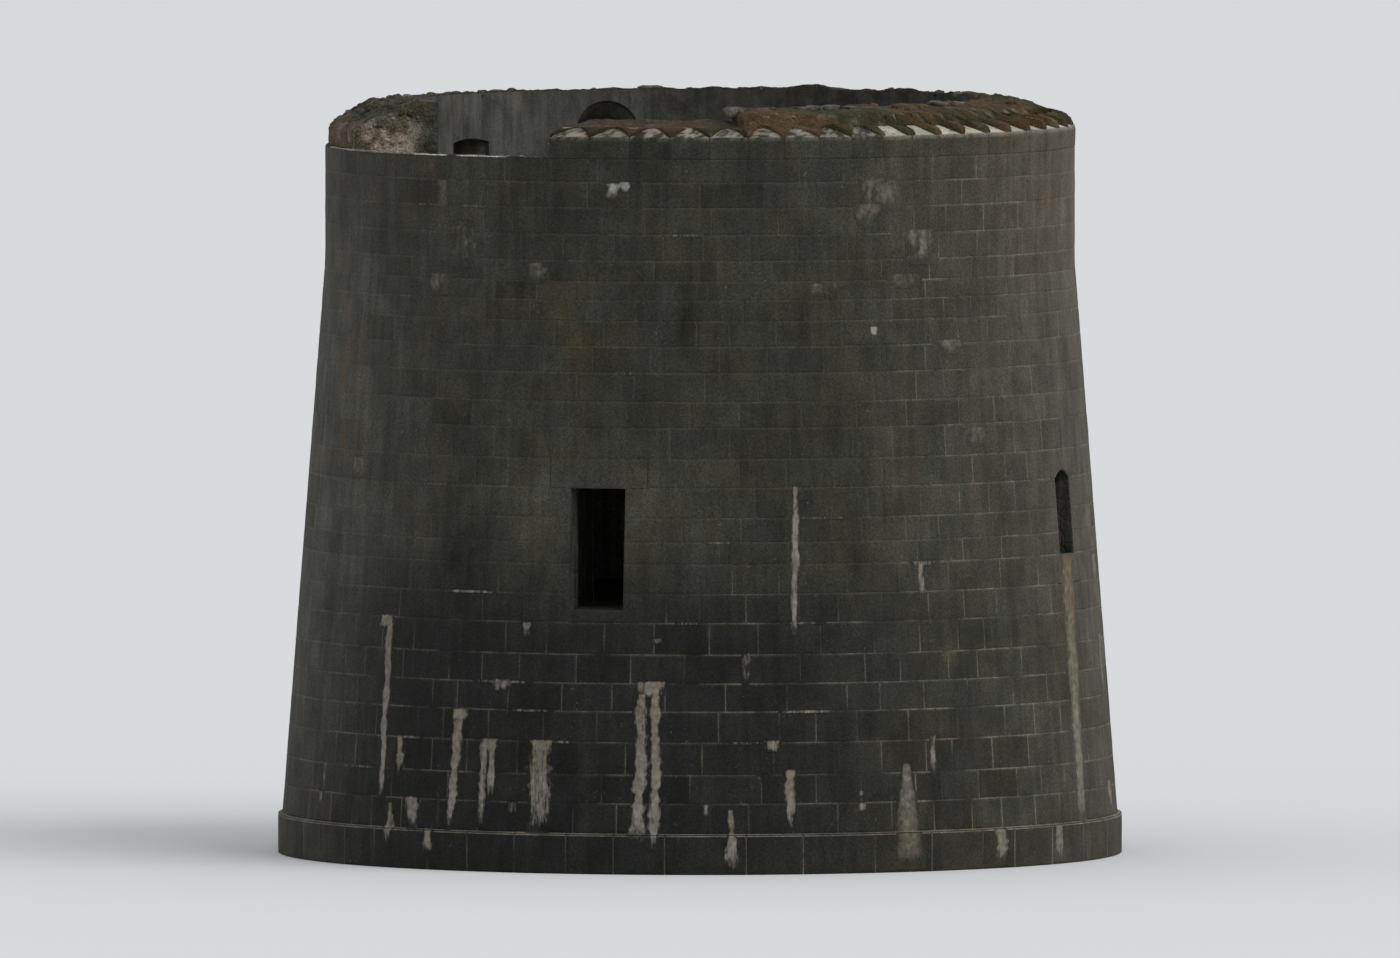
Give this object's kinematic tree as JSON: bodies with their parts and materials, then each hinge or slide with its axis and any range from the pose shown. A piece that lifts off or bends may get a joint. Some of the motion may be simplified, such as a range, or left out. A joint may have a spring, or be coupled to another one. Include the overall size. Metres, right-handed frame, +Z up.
{
  "type": "martello tower",
  "caption": "Round battered granite coastal gun tower with a raised doorway, splayed windows, a vaulted gun platform and a thick, partly broken parapet.",
  "frame": {"origin": "middle of the base at ground level", "axes": "+Z up, the entrance doorway faces -Y, +X to the right when facing the doorway"},
  "size_m": [12.7096, 12.7096, 11.35],
  "materials": {
    "plinth_stone": "rough dressed granite, damp-stained dark",
    "wall_stone": "weathered squared granite blocks with lime joints",
    "dressed_stone": "dressed granite, weathered",
    "vault_stone": "lime-washed rubble masonry, worn",
    "paving_stone": "worn granite paving",
    "parapet_stone": "weathered granite facing over a rubble core",
    "coping_stone": "granite with pale lichen",
    "floor_wood": "old grey sawn timber"
  },
  "bodies": {
    "root": {"plinth_front": "plinth_stone", "plinth_right": "plinth_stone", "plinth_back": "plinth_stone", "plinth_left": "plinth_stone", "ground_floor": "plinth_stone", "lower_wall_front": "wall_stone", "lower_wall_right": "wall_stone", "lower_wall_back": "wall_stone", "lower_wall_left": "wall_stone", "front_wall_left_of_door": "wall_stone", "front_wall_right_of_door": "wall_stone", "front_wall_over_door": "wall_stone", "upper_wall_right": "wall_stone", "upper_wall_back": "wall_stone", "upper_wall_left": "wall_stone", "door_lintel": "dressed_stone", "door_sill": "dressed_stone", "window_sill_right": "dressed_stone", "window_sill_left": "dressed_stone", "window_head_right": "dressed_stone", "window_head_left": "dressed_stone", "vault_front": "vault_stone", "vault_right": "vault_stone", "vault_back": "vault_stone", "vault_left": "vault_stone", "gun_platform_paving": "paving_stone", "parapet_front": "parapet_stone", "parapet_front_right": "parapet_stone", "parapet_right": "parapet_stone", "parapet_back_right": "parapet_stone", "parapet_back": "parapet_stone", "parapet_stair_head": "parapet_stone", "parapet_left": "parapet_stone", "parapet_broken": "parapet_stone", "parapet_breach": "parapet_stone", "coping_front": "coping_stone", "coping_right": "coping_stone", "coping_back": "coping_stone", "coping_left": "coping_stone", "first_floor_beam": "floor_wood", "first_floor_joists": "floor_wood", "first_floor_boards": "floor_wood"}
  },
  "joints": []
}
